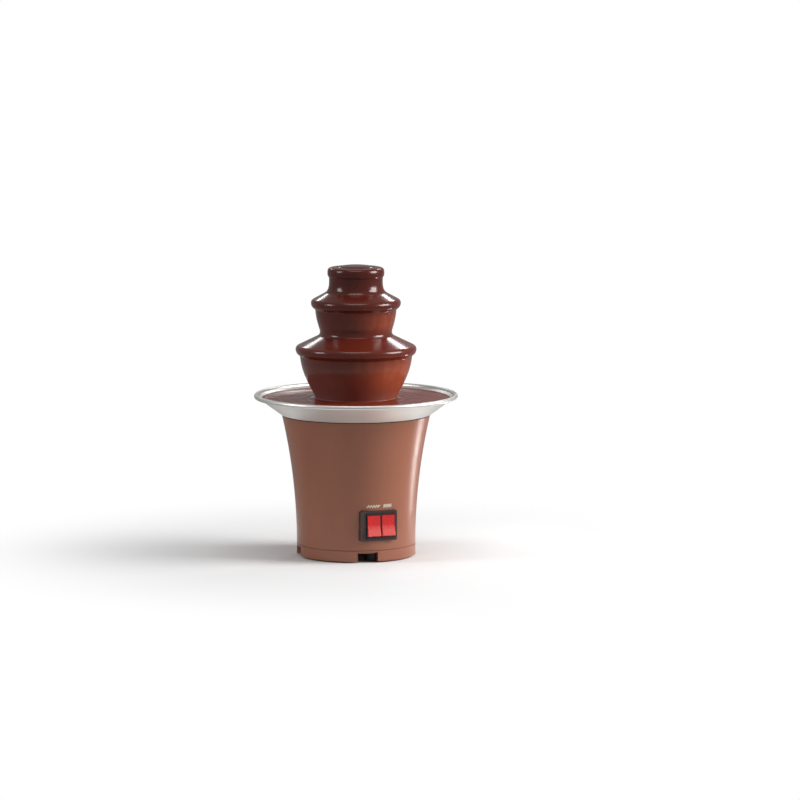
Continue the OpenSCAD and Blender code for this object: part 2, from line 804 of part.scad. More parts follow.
module idler_pin() {
    color("#c2c6ca")
    translate([idler_xy.x, idler_xy.y, box_floor_bottom])
        cylinder(r = idler_pin_r, h = box_cover_top - box_floor_bottom);
}

module motor_can() {
    can_r = motor_d / 2;
    color("#a2a6a8")
    translate([motor_xy.x, motor_xy.y, 0])
    difference() {
        union() {
            translate([0, 0, motor_bottom + endcap_t]) cylinder(r = can_r, h = motor_len - endcap_t);
            translate([0, 0, motor_top]) cylinder(r = nose_r, h = nose_h);
        }
        translate([0, 0, motor_bottom]) cylinder(r = can_r - can_t, h = motor_len - can_t);
        translate([0, 0, motor_top - over - can_t])
            cylinder(r = rotor_shaft_r + run, h = nose_h + can_t + 2 * over);
        for (x = motor_screw_x)
            translate([x, 0, motor_top - can_t - over])
                cylinder(r = motor_screw_r + fit / 2, h = can_t + 2 * over);
    }
}

module motor_magnets() {
    can_in = motor_d / 2 - can_t;
    color("#3f4042")
    translate([motor_xy.x, motor_xy.y, motor_bottom + endcap_t + rotor_room])
        for (a = [0, 180])
            rotate(a) intersection() {
                ring(can_in - run, can_in - magnet_t, motor_len - endcap_t - 2.5 * rotor_room);
                sector(motor_d, -60, 60, motor_len);
            }
}

module motor_endcap() {
    color("#2a2c30")
    translate([motor_xy.x, motor_xy.y, motor_bottom])
        difference() {
            union() {
                cylinder(r = motor_d / 2, h = endcap_t);
                translate([0, 0, endcap_t]) cylinder(r = motor_d / 2 - can_t - fit, h = 1.5);
            }
            translate([0, 0, 1]) cylinder(r = rotor_shaft_r + run, h = endcap_t + over + 1);
        }
}

module motor_screws() {
    color("#b9bcc0")
    for (x = motor_screw_x)
        translate([x, motor_xy.y, box_floor_top - motor_screw_head]) {
            cylinder(r = motor_screw_r * 2, h = motor_screw_head);
            translate([0, 0, -box_floor_t - can_t + motor_screw_head - 0.5])
                cylinder(r = motor_screw_r, h = box_floor_t + can_t - motor_screw_head + 0.5);
        }
}

module motor_rotor() {
    core_from = motor_bottom + endcap_t + rotor_room;
    core_h = motor_len - endcap_t - 2.5 * rotor_room;
    shaft_from = motor_bottom + 1.2;
    color("#7d6a55")
    translate([motor_xy.x, motor_xy.y, 0]) {
        translate([0, 0, shaft_from]) cylinder(r = rotor_shaft_r, h = gear_1_z + gear_1_face - shaft_from);
        translate([0, 0, core_from]) cylinder(r = rotor_r, h = core_h);
        translate([0, 0, core_from - 2]) cylinder(r = rotor_r * 0.45, h = 2);
    }
}

module motor_pinion() {
    color("#d8b26a")
    translate([motor_xy.x, motor_xy.y, gear_1_z])
        linear_extrude(gear_1_face) difference() {
            gear_outline(module_1, pinion_teeth, motor_pinion_phase);
            circle(rotor_shaft_r + fit / 5);
        }
}

module idler_gear() {
    wheel_top = gear_1_z + gear_1_face;
    sunk = 0.5;
    color("#f0ece2")
    translate([idler_xy.x, idler_xy.y, 0])
        difference() {
            union() {
                translate([0, 0, gear_1_z]) linear_extrude(gear_1_face)
                    gear_outline(module_1, wheel_1_teeth, 0);
                translate([0, 0, wheel_top - sunk]) linear_extrude(gear_2_z + gear_2_face - wheel_top + sunk)
                    gear_outline(module_2, pinion_teeth, idler_pinion_phase);
            }
            translate([0, 0, gear_1_z - over]) cylinder(r = idler_pin_r + run, h = box_inside_h + 2 * over);
        }
}

module output_gear() {
    color("#f0ece2")
    translate([0, 0, gear_2_z])
        linear_extrude(gear_2_face) difference() {
            gear_outline(module_2, wheel_2_teeth, 0);
            circle(shaft_r + fit / 5);
        }
}

module spacer_sleeve() {
    color("#b5803f")
    translate([0, 0, box_floor_top + fit])
        ring(shaft_r + 1.5, shaft_r + fit / 5, gear_2_z - box_floor_top - fit);
}

module shaft_clip() {
    clip_t = 0.8;
    color("#8a8e92")
    translate([0, 0, box_floor_bottom - bush_flange_t - fit - clip_t])
        difference() {
            ring(shaft_r + 2, shaft_r + fit / 5, clip_t);
            translate([0, -1.5, -over]) cube([shaft_r + 4, 3, clip_t + 2 * over]);
        }
}

// A round bar with one flat
module flatted(r, flat, h) {
    intersection() {
        cylinder(r = r, h = h);
        translate([-r - over, -r - over, -over]) cube([r + over + flat, 2 * (r + over), h + 2 * over]);
    }
}

module drive_shaft() {
    color("#c2c6ca") {
        translate([0, 0, shaft_bottom]) cylinder(r = shaft_r, h = socket_bottom - shaft_bottom);
        translate([0, 0, socket_bottom - fit]) flatted(shaft_r, shaft_flat, shaft_end - fit);
    }
}

module auger() {
    flight_bottom = auger_bottom;
    flight_h = tube_top - 1 - flight_bottom;
    core_top = crown_z + dome_h - 2;
    color("#5a3022")
    difference() {
        union() {
            translate([0, 0, socket_bottom]) cylinder(r = core_r, h = core_top - socket_bottom);
            translate([0, 0, core_top]) cylinder(r1 = core_r, r2 = core_r * 0.45, h = 1.6);
            translate([0, 0, auger_bottom]) cylinder(r = sleeve_ro, h = socket_bottom + 3 - auger_bottom);
            translate([0, 0, flight_bottom])
                linear_extrude(flight_h, twist = -360 * flight_h / auger_pitch,
                               slices = ceil(flight_slices_per_turn * flight_h / auger_pitch), $fn = 4)
                    polygon(concat([for (i = [0:3]) polar(core_r - 1, flight_angle * i / 3)],
                                   [for (i = [4:-1:0]) polar(auger_r, flight_angle * i / 4)]));
        }
        translate([0, 0, auger_bottom - over])
            cylinder(r = sleeve_ri, h = socket_bottom - auger_bottom + over);
        translate([0, 0, socket_bottom - over]) flatted(shaft_r + run, shaft_flat + run, shaft_end + over);
    }
}

// Tower

module tower_ring() {
    color("#c9ccca") translate([0, 0, floor_top]) ring(ring_ri + ring_t, ring_ri, ring_h);
}

module tower_tube() {
    color("#5a3022")
    difference() {
        union() {
            translate([0, 0, tube_bottom]) cylinder(r = tube_lower_d / 2, h = lower_step - tube_bottom);
            translate([0, 0, lower_step]) cylinder(r = tube_middle_d / 2, h = middle_step - lower_step);
            translate([0, 0, middle_step]) cylinder(r = tube_top_d / 2, h = tube_top - middle_step);
        }
        translate([0, 0, tube_bottom - over]) cylinder(r = tube_r, h = tube_top - tube_bottom + 2 * over);
        for (k = [0:3])
            translate([0, 0, tube_bottom - over])
                sector(tube_lower_d, 90 * k - inlet_angle / 2, 90 * k + inlet_angle / 2, inlet_h + over);
    }
}

// Umbrella-shaped tier with a sleeve that slides down the tube to a step
module tier(face, bore, step_z, lip) {
    hub = face[0];
    under = shifted(reversed(face), [0, -tier_t]);
    color("#5a3022")
    rotate_extrude()
        polygon(concat([[bore, step_z], [bore + sleeve_t, step_z]],
                       [[bore + sleeve_t, hub.y - tier_t]],
                       without_ends(reversed(under)),
                       [[lip.x - tier_t, lip.y - tier_t], [lip.x - tier_t, lip.y - tier_lip - tier_t],
                        [lip.x, lip.y - tier_lip - tier_t]],
                       reversed(face),
                       [[bore, hub.y]]));
}

module lower_tier() {
    tier(lower_face, lower_bore, lower_step + fit, lower_lip);
}

module middle_tier() {
    tier(middle_face, middle_bore, middle_step + fit, middle_lip);
}

module crown() {
    bore = crown_bore;
    skirt_r = tube_top_d / 2 + fit;
    skirt_bottom = middle_face[0].y + crown_skirt_gap;
    color("#5a3022")
    rotate_extrude()
        polygon(concat([[skirt_r, skirt_bottom], [skirt_r + crown_skirt_t, skirt_bottom]],
                       [crown_lip - [tier_t, tier_lip], crown_lip - [0, tier_lip]],
                       crown_face,
                       [[bore, crown_top - crown_edge], [bore, tube_top + fit], [skirt_r, tube_top + fit]]));
}

// Chocolate: each fall covers one tier, rolls over its lip and drops to the next landing ring

// How far the edge of a fall rounds in and up over its widest ring, and rolls in and down under it
edge = [1.6, 2.6];
roll = [3.3, 4.8];
// A falling sheet's outside, from under its ring to its foot
function sheet(ring, land) =
    let (under = ring - roll, drop = under.y - land.y, draw = under.x - land.x)
    curve2(under, [under.x - 0.1 * draw, under.y - 0.4 * drop],
           [land.x + 0.5 * draw, land.y + 0.36 * drop], land, 10);
// Outside of a fall: hollow shoulder, rounded edge, roll under the edge, sheet
function fall_outside(start, ring, land) =
    let (brow = ring + [-edge.x, edge.y])
    concat(hollow(start, brow),
           without_ends(curve(brow, [ring.x, ring.y + 0.67 * edge.y], ring, 6)),
           without_ends(concat([[0, 0]], curve(ring, [ring.x - 0.1, ring.y - 0.8 * roll.y], ring - roll, 6))),
           sheet(ring, land));

module tier_fall(face, lip, ring, above, land) {
    inner_r = above.x - sheet_t;
    covered = [for (p = face) if (p.x > inner_r + 0.5) p + [fit, fit]];
    color("#4a2113")
    rotate_extrude()
        polygon(concat([[inner_r, above.y]],
                       fall_outside(above, ring, land),
                       reversed(shifted(sheet(ring, land), [-sheet_t, 0])),
                       [[lip.x + fit, lip.y - tier_lip - tier_t - fit]],
                       reversed(covered),
                       [[inner_r, face_z(face, inner_r) + fit]]));
}

module lower_fall() {
    tier_fall(lower_face, lower_lip, [lower_d / 2, lower_z], middle_land, lower_land);
}

module middle_fall() {
    tier_fall(middle_face, middle_lip, [middle_d / 2, middle_z], crown_land, middle_land);
}

// The crown's fall: a low top, an upright ring, and a straight neck that is set in under the ring
module crown_fall() {
    inner_r = dome_r + flow_gap;
    top = crown_z + dome_h - dome_crown;
    ring_r = crown_d / 2;
    ring_top = crown_z + crown_side;
    ring_bottom = crown_z - crown_side;
    undercut_z = ring_bottom - crown_side;
    sheet_top = crown_z - crown_roll;
    inside = crown_land.x - sheet_t;
    color("#4a2113")
    rotate_extrude()
        polygon(concat(curve([inner_r, top], [ring_r - 0.1, top - 0.8], [ring_r, ring_top], 10),
                       curve([ring_r, ring_bottom], [ring_r, undercut_z], [crown_land.x, undercut_z], 5),
                       [crown_land, [inside, crown_land.y], [inside, sheet_top],
                        [crown_lip.x + fit, crown_lip.y - tier_lip - fit]],
                       shifted(crown_face, [fit, fit]),
                       [[inner_r, crown_face[len(crown_face) - 1].y + fit]]));
}

module chocolate_dome() {
    top = crown_z + dome_h;
    edge = crown_z + dome_h - dome_crown;
    hole_r = core_r + fit;
    color("#4a2113")
    rotate_extrude()
        polygon(concat([[hole_r, tube_top - 0.5], [dome_r, tube_top - 0.5]],
                       curve([dome_r, edge], [dome_r * 0.6, top], [hole_r, top - 0.1], 8)));
}

module chocolate_pool() {
    inner_r = ring_ri + ring_t + flow_gap;
    color("#6d3a2b")
    rotate_extrude()
        polygon([[inner_r, floor_top + fit], [well_ri - fit, floor_top + fit],
                 [well_ri - fit, seat_top + fit], [brim_r(seat_top + fit) - fit, seat_top + fit],
                 [brim_r(pool_z) - fit, pool_z], [inner_r, pool_z]]);
}

// Switches

module switch_panel() {
    window_w = 2 * switch_w + 3 * fit;
    color("#3a2a26")
    difference() {
        facing_block(panel_front, panel_back)
            translate([0, panel_z]) rounded_rect(panel_w, panel_h, panel_corner);
        facing_block(panel_front + panel_face_t, panel_back + over) translate([0, panel_z])
            rounded_rect(panel_w - 2 * panel_wall, panel_h - 2 * panel_wall, panel_inner_corner);
        translate([switch_shift - window_w / 2, panel_front - over, panel_z - switch_h / 2 - fit])
            cube([window_w, panel_back - panel_front + 2 * over, switch_h + 2 * fit]);
    }
}

// Switch body with a window for its rocker, centred on x = 0
module switch_body() {
    cavity_w = rocker_w + 2 * rocker_side;
    difference() {
        union() {
            translate([-switch_w / 2, switch_front, panel_z - switch_flange_h / 2])
                cube([switch_w, switch_flange_t, switch_flange_h]);
            translate([-switch_w / 2, switch_front, panel_z - switch_h / 2])
                cube([switch_w, switch_back - switch_front, switch_h]);
        }
        translate([-cavity_w / 2, switch_front - over, panel_z - switch_window_h / 2])
            cube([cavity_w, over + rocker_pivot_y - switch_front + rocker_cavity, switch_window_h]);
        translate([-switch_w / 2 - over, rocker_pivot_y, panel_z]) rotate([0, 90, 0])
            cylinder(r = trunnion_r + run, h = switch_w + 2 * over);
    }
}

module motor_switch() {
    color("#1b1a1b") translate([motor_switch_x, 0, 0]) switch_body();
}

module heat_switch() {
    color("#1b1a1b") translate([heat_switch_x, 0, 0]) switch_body();
}

module switch_terminals() {
    blade = [4.8, 7, 0.8];
    color("#c9a24c")
    for (x = [motor_switch_x, heat_switch_x], k = [-1:1])
        translate([x - blade.x / 2, switch_back, panel_z + 6 * k - blade.z / 2]) cube(blade);
}

// Rocker: two flat faces in a shallow V, round ends about its pivot and a trunnion each side.
// Its upper half is pressed in.
module rocker() {
    far = rocker_half * 1.3;
    trunnion_w = rocker_w + 2 * (rocker_side + trunnion_l);
    translate([0, rocker_pivot_y, panel_z]) rotate([-rocker_tilt, 0, 0]) {
        translate([-rocker_w / 2, 0, 0]) rotate([90, 0, 90]) linear_extrude(rocker_w) intersection() {
            circle(rocker_reach);
            polygon([[-rocker_depth, 0], [-rocker_depth - far * tan(rocker_tilt), far], [rocker_back, far],
                     [rocker_back, -far], [-rocker_depth - far * tan(rocker_tilt), -far]]);
        }
        translate([-trunnion_w / 2, 0, 0]) rotate([0, 90, 0]) cylinder(r = trunnion_r, h = trunnion_w);
    }
}

module motor_rocker() {
    color("#d21f26") translate([motor_switch_x, 0, 0]) rocker();
}

module heat_rocker() {
    color("#d21f26") translate([heat_switch_x, 0, 0]) rocker();
}

base_housing();
bottom_cover();
rubber_feet();
cover_screws();
cord_gland();
terminal_block();
bowl();
bowl_gasket();
bowl_studs();
hub_bush();
shaft_seal();
heater_plate();
heating_element();
heater_clamp();
heater_nuts();
thermostat();
chassis_plate();
chassis_nuts();
chassis_screws();
gearbox_case();
gearbox_cover();
gearbox_standoffs();
gearbox_screws();
lower_bush();
upper_bush();
idler_pin();
motor_can();
motor_magnets();
motor_endcap();
motor_screws();
motor_rotor();
motor_pinion();
idler_gear();
output_gear();
spacer_sleeve();
drive_shaft();
shaft_clip();
auger();
tower_ring();
tower_tube();
lower_tier();
middle_tier();
crown();
crown_fall();
middle_fall();
lower_fall();
chocolate_dome();
chocolate_pool();
switch_panel();
motor_switch();
heat_switch();
switch_terminals();
motor_rocker();
heat_rocker();
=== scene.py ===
"""Looks of a tabletop chocolate fountain with a three-tier tower, shown running.

The frame is the CAD's: +Z up, switches towards -Y, origin on the table under the axis.
Outlines are in millimetres, everything else is in metres.
"""
import math

import bpy
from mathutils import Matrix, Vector, noise


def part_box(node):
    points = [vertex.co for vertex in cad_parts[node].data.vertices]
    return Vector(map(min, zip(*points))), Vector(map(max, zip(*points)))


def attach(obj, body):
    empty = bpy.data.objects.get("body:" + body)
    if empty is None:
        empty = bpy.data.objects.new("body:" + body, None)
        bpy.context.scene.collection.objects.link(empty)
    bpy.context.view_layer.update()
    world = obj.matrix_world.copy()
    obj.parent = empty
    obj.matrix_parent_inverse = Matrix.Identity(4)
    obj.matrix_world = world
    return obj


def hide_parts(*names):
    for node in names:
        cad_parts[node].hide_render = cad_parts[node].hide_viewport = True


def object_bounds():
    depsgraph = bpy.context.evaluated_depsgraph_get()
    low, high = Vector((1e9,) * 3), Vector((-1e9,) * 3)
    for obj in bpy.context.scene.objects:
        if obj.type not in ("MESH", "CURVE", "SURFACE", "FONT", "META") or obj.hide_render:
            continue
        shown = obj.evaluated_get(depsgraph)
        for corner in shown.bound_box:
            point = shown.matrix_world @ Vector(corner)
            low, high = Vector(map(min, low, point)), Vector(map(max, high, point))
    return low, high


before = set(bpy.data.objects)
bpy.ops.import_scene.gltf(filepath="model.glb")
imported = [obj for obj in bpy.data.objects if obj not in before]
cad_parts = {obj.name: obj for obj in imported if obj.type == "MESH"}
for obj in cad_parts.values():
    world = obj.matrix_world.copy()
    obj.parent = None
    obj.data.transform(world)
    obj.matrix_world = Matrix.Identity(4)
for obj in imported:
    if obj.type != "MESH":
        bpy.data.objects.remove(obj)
cad_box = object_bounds()

MM = 0.001
TURN = 2 * math.pi
MIDDLE = (cad_box[0] + cad_box[1]) / 2


def placed(name, data):
    """A new object in the scene."""
    made = bpy.data.objects.new(name, data)
    bpy.context.scene.collection.objects.link(made)
    return made


def turn_to(item, ahead):
    """Turns a camera or a lamp to look along a direction."""
    item.rotation_euler = ahead.to_track_quat("-Z", "Y").to_euler()


# Camera: the photograph's viewing angle, in an 800 x 800 frame

FRAME_PX = 800
FOCAL_PX = 5300
SENSOR_MM = 36
CAMERA_AZIMUTH = math.radians(-21.5)
CAMERA_DISTANCE = 4.0
CAMERA_HEIGHT = 0.62
# Where the middle of the fountain sits in the frame
OBJECT_PX = (356, 410)


def add_camera():
    data = bpy.data.cameras.new("camera")
    data.sensor_width = SENSOR_MM
    data.lens = SENSOR_MM * FOCAL_PX / FRAME_PX
    camera = placed("camera", data)
    camera.location = (CAMERA_DISTANCE * math.sin(CAMERA_AZIMUTH),
                       -CAMERA_DISTANCE * math.cos(CAMERA_AZIMUTH), CAMERA_HEIGHT)
    ahead = MIDDLE - camera.location
    right = ahead.cross(Vector((0, 0, 1))).normalized()
    up = right.cross(ahead).normalized()
    per_px = ahead.length / FOCAL_PX
    across = right * (FRAME_PX / 2 - OBJECT_PX[0]) * per_px
    upwards = up * (OBJECT_PX[1] - FRAME_PX / 2) * per_px
    turn_to(camera, MIDDLE + across + upwards - camera.location)
    bpy.context.scene.camera = camera


# Colours and material nodes

def grey(value):
    return (value, value, value, 1)


def srgb(red, green, blue):
    """Linear colour of an 8-bit sRGB one."""
    def linear(value):
        value /= 255
        return value / 12.92 if value <= 0.04045 else ((value + 0.055) / 1.055) ** 2.4
    return (linear(red), linear(green), linear(blue), 1)


# How strongly metal, glass and gloss show the white surroundings, which the camera sees at full strength
MIRRORED = 0.3


def seen(tree):
    """1 for rays that show the surroundings, namely the camera's, mirrored ones and those through glass."""
    rays = tree.nodes.new("ShaderNodeLightPath").outputs
    either = rays["Is Camera Ray"]
    for kind in ("Is Glossy Ray", "Is Transmission Ray"):
        node = tree.nodes.new("ShaderNodeMath")
        node.operation = "MAXIMUM"
        tree.links.new(either, node.inputs[0])
        tree.links.new(rays[kind], node.inputs[1])
        either = node.outputs[0]
    return either


def whiteness(tree):
    """Strength at which such a ray shows them: full for the camera's own."""
    rays = tree.nodes.new("ShaderNodeLightPath").outputs
    node = tree.nodes.new("ShaderNodeMapRange")
    node.inputs["To Min"].default_value = MIRRORED
    tree.links.new(rays["Is Camera Ray"], node.inputs["Value"])
    return node.outputs["Result"]


# Values of noise over which a material's two colours and its two roughnesses are spread
TONE_NOISE = (0.35, 0.65)
SHEEN_NOISE = (0.3, 0.7)


class Finish:
    """A material's node tree, with short calls that add nodes to it."""

    def __init__(self, name):
        self.material = bpy.data.materials.new(name)
        self.material.use_nodes = True
        self.tree = self.material.node_tree
        self.shader = self.tree.nodes["Principled BSDF"]
        self.place = self.add("ShaderNodeTexCoord").outputs["Object"]

    def fill(self, node, inputs):
        for name, value in inputs.items():
            if isinstance(value, bpy.types.NodeSocket):
                self.tree.links.new(value, node.inputs[name])
            else:
                node.inputs[name].default_value = value

    def add(self, kind, inputs=None, **settings):
        node = self.tree.nodes.new(kind)
        for name, value in settings.items():
            setattr(node, name, value)
        self.fill(node, inputs or {})
        return node

    def look(self, **inputs):
        """Sets the shader's sockets, named with _ for a space."""
        self.fill(self.shader, {name.replace("_", " "): value for name, value in inputs.items()})

    def maths(self, operation, *values):
        return self.add("ShaderNodeMath", dict(enumerate(values)), operation=operation).outputs[0]

    def vector(self, operation, *values):
        node = self.add("ShaderNodeVectorMath", dict(enumerate(values)), operation=operation)
        return node.outputs["Value" if operation in ("LENGTH", "DOT_PRODUCT") else "Vector"]

    def height(self):
        return self.add("ShaderNodeSeparateXYZ", {0: self.place}).outputs["Z"]

    def from_axis(self):
        """The part of the place that leads away from the Z axis."""
        return self.vector("MULTIPLY", self.place, (1, 1, 0))

    def ranged(self, value, low, high, to=(0.0, 1.0), **settings):
        """A number's place between two, given as a number between two others."""
        inputs = {"Value": value, "From Min": low, "From Max": high, "To Min": to[0], "To Max": to[1]}
        return self.add("ShaderNodeMapRange", inputs, **settings).outputs["Result"]

    def grain(self, size, detail=3.0, place=None):
        """Noise whose blotches are about this size across."""
        inputs = {"Vector": place or self.place, "Scale": 1 / size, "Detail": detail}
        return self.add("ShaderNodeTexNoise", inputs).outputs[0]

    def drawn(self, size, by, detail=3.0):
        """Noise drawn out along Z by a factor."""
        return self.grain(size, detail, self.vector("MULTIPLY", self.place, (1, 1, 1 / by)))

    def spun(self, size, patches=6, detail=2.0):
        """Noise drawn out round the Z axis, as turning or spinning leaves it."""
        out = self.from_axis()
        around = self.vector("MULTIPLY", self.vector("NORMALIZE", out), [patches * size] * 3)
        rise = self.vector("MULTIPLY", self.place, (0, 0, 1))
        inputs = {"Vector": self.vector("ADD", around, rise), "Scale": 1 / size, "Detail": detail,
                  "W": self.maths("MULTIPLY", self.vector("LENGTH", out), 1 / size)}
        return self.add("ShaderNodeTexNoise", inputs, noise_dimensions="4D").outputs[0]

    def tones(self, mask, dark, light):
        """A colour between two, by noise."""
        ramp = self.add("ShaderNodeValToRGB", {"Fac": mask})
        for mark, position, colour in zip(ramp.color_ramp.elements, TONE_NOISE, (dark, light)):
            mark.position = position
            mark.color = colour
        return ramp.outputs["Color"]

    def span(self, mask, low, high):
        """A number between two, by noise."""
        return self.ranged(mask, *SHEEN_NOISE, to=(low, high))

    def by_height(self, stops):
        """Colours along the height, from stops of a height in millimetres and a colour."""
        foot = stops[0][0]
        top = stops[-1][0]
        ramp = self.add("ShaderNodeValToRGB", {"Fac": self.ranged(self.height(), foot * MM, top * MM)})
        marks = ramp.color_ramp.elements
        for z, _ in stops[1:-1]:
            marks.new((z - foot) / (top - foot))
        for mark, (_, colour) in zip(marks, stops):
            mark.color = colour
        return ramp.outputs["Color"]

    def mixed(self, share, first, second):
        """A colour between two, by a share that a node gives."""
        return self.add("ShaderNodeMix", {"Factor": share, 6: first, 7: second}, data_type="RGBA").outputs[2]

    def relief(self, height, depth):
        inputs = {"Height": height, "Distance": depth, "Strength": 1.0}
        return self.add("ShaderNodeBump", inputs).outputs["Normal"]


# Patterns of the materials: how large they are, how far they are drawn out, and how deep their relief is

PLASTIC_CLOUD = 22 * MM
PLASTIC_DRAWN = 5
PLASTIC_SHEEN = 14 * MM
METAL_DRAWN = 30
METAL_RELIEF = 0.006 * MM
CHOCOLATE_SHEEN = 9 * MM
STILL_FLOW = 14 * MM
STILL_RELIEF = 0.003 * MM
RUNNING_FLOW = 5 * MM
RUNNING_DRAWN = 12
RUNNING_RELIEF = 0.02 * MM


def moulded(name, dark, light, rough, grain=0.4 * MM, depth=0.02 * MM, **look):
    """Moulded plastic: an even colour, drawn out upwards, with a fine spark-eroded grain."""
    finish = Finish(name)
    cloud = finish.drawn(PLASTIC_CLOUD, PLASTIC_DRAWN, detail=0.5)
    finish.look(Base_Color=finish.tones(cloud, dark, light),
                Roughness=finish.span(finish.grain(PLASTIC_SHEEN, detail=1.0), *rough),
                Normal=finish.relief(finish.grain(grain, detail=1.0), depth), **look)
    return finish.material


def metal(name, dark, light, rough, pattern="cast", size=0.25 * MM):
    """Bare metal with the marks of its making: spun, drawn along Z, or cast."""
    finish = Finish(name)
    if pattern == "spun":
        marks = finish.spun(size)
    elif pattern == "drawn":
        marks = finish.drawn(size, METAL_DRAWN)
    else:
        marks = finish.grain(size)
    finish.look(Base_Color=finish.tones(marks, dark, light), Metallic=1.0,
                Roughness=finish.span(marks, *rough), Normal=finish.relief(marks, METAL_RELIEF))
    return finish.material


def still_chocolate(name, dark, light, rough, **look):
    """Chocolate in the bowl: glossy, with faint flow lines."""
    finish = Finish(name)
    flow = finish.grain(STILL_FLOW, detail=1.0)
    finish.look(Base_Color=finish.tones(flow, dark, light),
                Roughness=finish.span(finish.grain(CHOCOLATE_SHEEN, detail=1.0), *rough),
                Normal=finish.relief(flow, STILL_RELIEF), **look)
    return finish.material


# The running film's colours by height in millimetres, and the share of painted glow where it falls free
# Painted shade darkens the film towards the crown, and a painted reflection makes its foot milky
FILM_TONES_AND_PAINTED_LIGHT = ((120, srgb(146, 96, 88)), (138, srgb(128, 74, 66)), (148, srgb(108, 50, 40)),
              (158, srgb(104, 38, 25)), (170, srgb(104, 38, 25)), (212, srgb(84, 26, 17)))
GLOW_SHARE_BY_HEIGHT = ((118, 0.2), (130, 0.75), (140, 0.95), (147, 0.7), (154, 0.2), (158, 0.0),
               (170, 0.0), (177, 0.5), (184, 0.4), (190, 0.0))
# Colour of the painted glow of light through the falling sheet
PAINTED_GLOW_TONE = srgb(178, 86, 54)
# The falling sheet has a painted glow of light through it, strongest on this side. The glow starts at an
# angle from that side with this cosine, and streaks of the flow change how strong it looks.
GLOW_SIDE = (0.8, -0.6, 0.0)
GLOW_FROM = -0.2
GLOW_STREAKS = (0.72, 1.15)


def running_chocolate(name, rough, **look):
    """Chocolate that runs over the tower: glossy, with painted shade on the crown and painted glow where it
    falls free.
    """
    finish = Finish(name)
    flow = finish.drawn(RUNNING_FLOW, RUNNING_DRAWN, detail=1.0)
    # Painted glow of light through the falling sheet: strongest on one side, only where it falls free,
    # streaked
    around = finish.vector("NORMALIZE", finish.from_axis())
    facing = finish.vector("DOT_PRODUCT", around, GLOW_SIDE)
    glow_side = finish.ranged(facing, GLOW_FROM, 1.0, interpolation_type="SMOOTHSTEP")
    glow_by_height = finish.by_height([(z, grey(share)) for z, share in GLOW_SHARE_BY_HEIGHT])
    share = finish.maths("MULTIPLY", glow_by_height, finish.maths("MULTIPLY", glow_side, finish.span(flow, *GLOW_STREAKS)))
    # Painted shade darkens the film towards the crown and a painted reflection makes its foot milky
    finish.look(Base_Color=finish.mixed(share, finish.by_height(FILM_TONES_AND_PAINTED_LIGHT), PAINTED_GLOW_TONE),
                Roughness=finish.span(finish.grain(CHOCOLATE_SHEEN, detail=1.0), *rough),
                Normal=finish.relief(flow, RUNNING_RELIEF), **look)
    return finish.material


# The lit lens: its colours with and without a painted highlight on its lower half, and the waves and patches
# on it
LENS_PAINTED_HIGHLIGHT = srgb(222, 92, 88)
LENS_RED = srgb(206, 34, 36)
LENS_WAVES = 4 * MM
LENS_WAVE_DEPTH = 2 * MM
LENS_SHEEN = 3 * MM
LENS_GRAIN = 0.6 * MM
LENS_RELIEF = 0.006 * MM


def lit_lens(name, low, high):
    """Red lens of a lit rocker between two heights: it glows faintly, with a painted highlight on its lower
    half.
    """
    finish = Finish(name)
    waves = finish.grain(LENS_WAVES, detail=1.0)
    wavy = finish.maths("MULTIPLY_ADD", waves, LENS_WAVE_DEPTH, finish.height())
    # The lower half gets a painted highlight, paler than the red above it
    red = finish.tones(finish.ranged(wavy, low, high), LENS_PAINTED_HIGHLIGHT, LENS_RED)
    finish.look(Base_Color=red, Roughness=finish.span(finish.grain(LENS_SHEEN), 0.25, 0.32),
                Normal=finish.relief(finish.grain(LENS_GRAIN), LENS_RELIEF), Subsurface_Weight=0.2,
                Subsurface_Radius=(1.0, 0.2, 0.15), Subsurface_Scale=1 * MM, Emission_Color=red,
                Emission_Strength=0.1)
    return finish.material


def slot_name(material):
    """A material's name, without the number that a second one of that name gets."""
    return material.name.split(".")[0]


